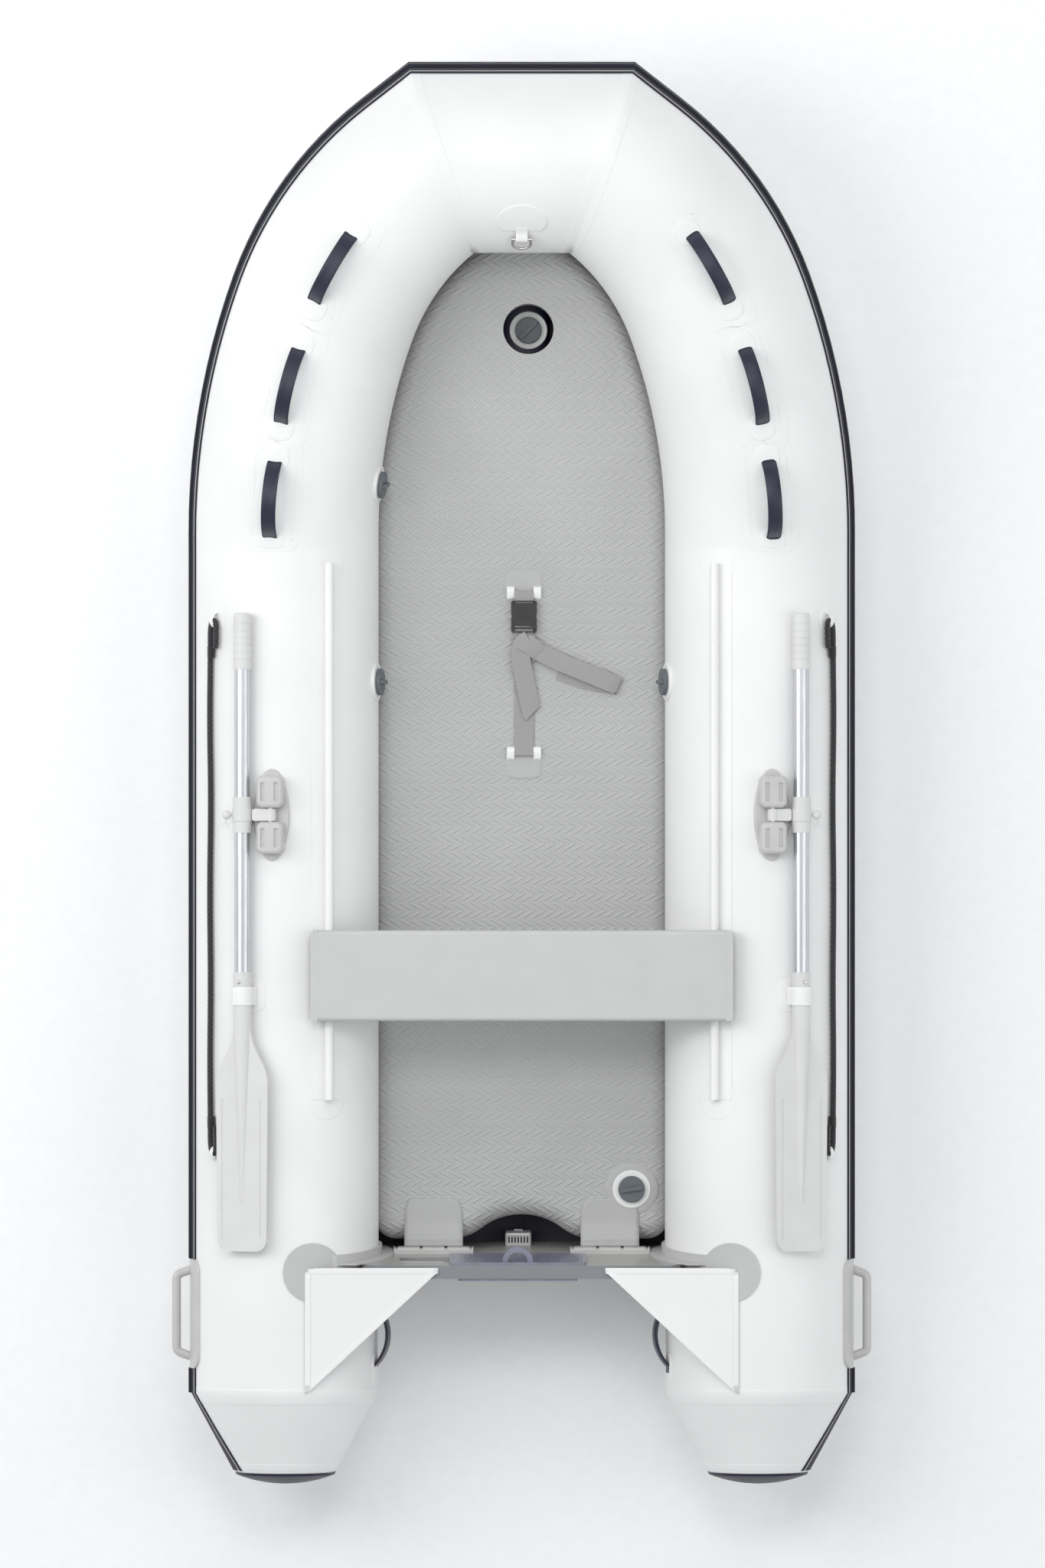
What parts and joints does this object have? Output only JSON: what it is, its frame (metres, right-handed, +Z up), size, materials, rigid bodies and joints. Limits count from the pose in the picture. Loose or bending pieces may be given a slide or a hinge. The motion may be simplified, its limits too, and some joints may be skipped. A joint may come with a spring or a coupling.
{
  "type": "inflatable dinghy",
  "caption": "Inflatable dinghy with air floor, wooden transom, sliding bench seat and two stowed oars.",
  "frame": {"origin": "on the ground under the middle of the boat's overall length and width", "axes": "+Y to the bow, +X to starboard, +Z up"},
  "size_m": [1.578, 3.2, 0.568],
  "materials": {
    "tube_bow": "satin",
    "tube_side_port": "satin",
    "tube_side_starboard": "satin",
    "tube_quarter_port": "satin",
    "tube_quarter_starboard": "satin",
    "chamber_bulkheads": "satin",
    "rub_strake": "satin",
    "cone_end_caps": "satin",
    "keel_tube": "satin",
    "bottom_skin": "satin",
    "air_floor": "satin",
    "transom_board": "painted",
    "transom_profiles": "satin",
    "motor_pad_inner": "gloss",
    "motor_pad_outer": "gloss",
    "floor_clamps": "matte",
    "drain_valve_body": "matte",
    "clamp_screws": "brushed",
    "floor_flaps": "woven",
    "splash_guards": "woven",
    "drain_valve_cover": "matte",
    "seat_rails": "satin",
    "strap_pads": "satin",
    "bench_seat": "satin",
    "bench_brackets": "satin",
    "grab_straps": "woven",
    "carry_handles": "satin",
    "oarlock_bases": "satin",
    "bow_ring": "polished",
    "bow_ring_tab": "woven",
    "rope_anchors": "woven",
    "strap_anchors": "woven",
    "oarlock_axles": "brushed",
    "buckle_female": "matte",
    "buckle_male": "matte",
    "cargo_strap": "woven",
    "valve_bodies": "satin",
    "valve_cap_bow": "matte",
    "valve_cap_port": "matte",
    "valve_cap_starboard": "matte",
    "valve_cap_keel": "matte",
    "valve_cap_floor": "matte",
    "oarlock_swivel_port": "satin",
    "oar_collar_port": "satin",
    "oar_grip_port": "satin",
    "oar_blade_port": "satin",
    "oar_shaft_port": "anodised",
    "blade_button_port": "brushed",
    "pin_knob_port": "matte",
    "oar_keeper_port": "satin",
    "rope_port": "braided",
    "oarlock_swivel_starboard": "satin",
    "oar_collar_starboard": "satin",
    "oar_grip_starboard": "satin",
    "oar_blade_starboard": "satin",
    "oar_shaft_starboard": "anodised",
    "blade_button_starboard": "brushed",
    "pin_knob_starboard": "matte",
    "oar_keeper_starboard": "satin",
    "rope_starboard": "braided"
  },
  "bodies": {
    "hull": {"tube_bow": "tube_bow", "tube_side_port": "tube_side_port", "tube_side_starboard": "tube_side_starboard", "tube_quarter_port": "tube_quarter_port", "tube_quarter_starboard": "tube_quarter_starboard", "chamber_bulkheads": "chamber_bulkheads", "rub_strake": "rub_strake", "cone_end_caps": "cone_end_caps", "keel_tube": "keel_tube", "bottom_skin": "bottom_skin", "air_floor": "air_floor", "transom_board": "transom_board", "transom_profiles": "transom_profiles", "motor_pad_inner": "motor_pad_inner", "motor_pad_outer": "motor_pad_outer", "floor_clamps": "floor_clamps", "drain_valve_body": "drain_valve_body", "clamp_screws": "clamp_screws", "floor_flaps": "floor_flaps", "splash_guards": "splash_guards", "seat_rails": "seat_rails", "strap_pads": "strap_pads", "grab_straps": "grab_straps", "carry_handles": "carry_handles", "oarlock_bases": "oarlock_bases", "bow_ring_tab": "bow_ring_tab", "rope_anchors": "rope_anchors", "strap_anchors": "strap_anchors", "oarlock_axles": "oarlock_axles", "buckle_female": "buckle_female", "cargo_strap": "cargo_strap", "valve_bodies": "valve_bodies", "oar_keeper_port": "oar_keeper_port", "rope_port": "rope_port", "oar_keeper_starboard": "oar_keeper_starboard", "rope_starboard": "rope_starboard"},
    "drain_cover": {"drain_valve_cover": "drain_valve_cover"},
    "bench": {"bench_seat": "bench_seat", "bench_brackets": "bench_brackets"},
    "bow_ring": {"bow_ring": "bow_ring"},
    "buckle_half": {"buckle_male": "buckle_male"},
    "cap_bow": {"valve_cap_bow": "valve_cap_bow"},
    "cap_port": {"valve_cap_port": "valve_cap_port"},
    "cap_starboard": {"valve_cap_starboard": "valve_cap_starboard"},
    "cap_keel": {"valve_cap_keel": "valve_cap_keel"},
    "cap_floor": {"valve_cap_floor": "valve_cap_floor"},
    "oar_port": {"oarlock_swivel_port": "oarlock_swivel_port", "oar_collar_port": "oar_collar_port", "oar_grip_port": "oar_grip_port", "oar_blade_port": "oar_blade_port", "oar_shaft_port": "oar_shaft_port"},
    "button_port": {"blade_button_port": "blade_button_port"},
    "knob_port": {"pin_knob_port": "pin_knob_port"},
    "oar_starboard": {"oarlock_swivel_starboard": "oarlock_swivel_starboard", "oar_collar_starboard": "oar_collar_starboard", "oar_grip_starboard": "oar_grip_starboard", "oar_blade_starboard": "oar_blade_starboard", "oar_shaft_starboard": "oar_shaft_starboard"},
    "button_starboard": {"blade_button_starboard": "blade_button_starboard"},
    "knob_starboard": {"pin_knob_starboard": "pin_knob_starboard"}
  },
  "joints": [
    {"name": "bench_slide", "type": "slide", "parent": "hull", "child": "bench", "axis": [0, 1, 0], "range_m": [-0.165, 0.8]},
    {"name": "oar_port_swing", "type": "hinge", "parent": "hull", "child": "oar_port", "pos_m": [-0.5627, -0.091, 0.43908], "axis": [0, 1, 0], "range_deg": [0, 100], "deforming": ["oar_keeper_port"]},
    {"name": "knob_port_turn", "type": "hinge", "parent": "oar_port", "child": "knob_port", "pos_m": [-0.626, -0.091, 0.4269], "axis": [-1, 0, 0], "continuous": true},
    {"name": "button_port_press", "type": "slide", "parent": "oar_port", "child": "button_port", "axis": [0.3941, 0, -0.9191], "range_m": [0, 0.004], "stiffness_N_per_m": 800, "springref_m": -0.002},
    {"name": "oar_starboard_swing", "type": "hinge", "parent": "hull", "child": "oar_starboard", "pos_m": [0.5627, -0.091, 0.43908], "axis": [0, -1, 0], "range_deg": [0, 100], "deforming": ["oar_keeper_starboard"]},
    {"name": "knob_starboard_turn", "type": "hinge", "parent": "oar_starboard", "child": "knob_starboard", "pos_m": [0.626, -0.091, 0.4269], "axis": [1, 0, 0], "continuous": true},
    {"name": "button_starboard_press", "type": "slide", "parent": "oar_starboard", "child": "button_starboard", "axis": [-0.3941, 0, -0.9191], "range_m": [0, 0.004], "stiffness_N_per_m": 800, "springref_m": -0.002},
    {"name": "cap_bow_twist", "type": "hinge", "parent": "hull", "child": "cap_bow", "pos_m": [-0.32237, 0.65198, 0.27498], "axis": [0.9742, -0.1192, 0.1916], "range_deg": [0, 90]},
    {"name": "cap_port_twist", "type": "hinge", "parent": "hull", "child": "cap_port", "pos_m": [-0.32759, 0.208, 0.25366], "axis": [0.9781, 0, 0.2079], "range_deg": [0, 90]},
    {"name": "cap_starboard_twist", "type": "hinge", "parent": "hull", "child": "cap_starboard", "pos_m": [0.32759, 0.208, 0.25366], "axis": [-0.9781, 0, 0.2079], "range_deg": [0, 90]},
    {"name": "cap_keel_twist", "type": "hinge", "parent": "hull", "child": "cap_keel", "pos_m": [0.015, 1.006, 0.08], "axis": [0, 0, 1], "range_deg": [0, 90]},
    {"name": "cap_floor_twist", "type": "hinge", "parent": "hull", "child": "cap_floor", "pos_m": [0.248, -0.937, 0.18], "axis": [0, 0, 1], "range_deg": [0, 90]},
    {"name": "bow_ring_swing", "type": "hinge", "parent": "hull", "child": "bow_ring", "pos_m": [0, 1.19628, 0.46179], "axis": [-1, 0, 0], "range_deg": [0, 130]},
    {"name": "drain_cover_lift", "type": "hinge", "parent": "hull", "child": "drain_cover", "pos_m": [-0.008, -1.04395, 0.09151], "axis": [1, 0, 0], "range_deg": [0, 25]},
    {"name": "buckle_release", "type": "slide", "parent": "hull", "child": "buckle_half", "axis": [0, -1, 0], "range_m": [0, 0.027], "deforming": ["cargo_strap"]}
  ]
}
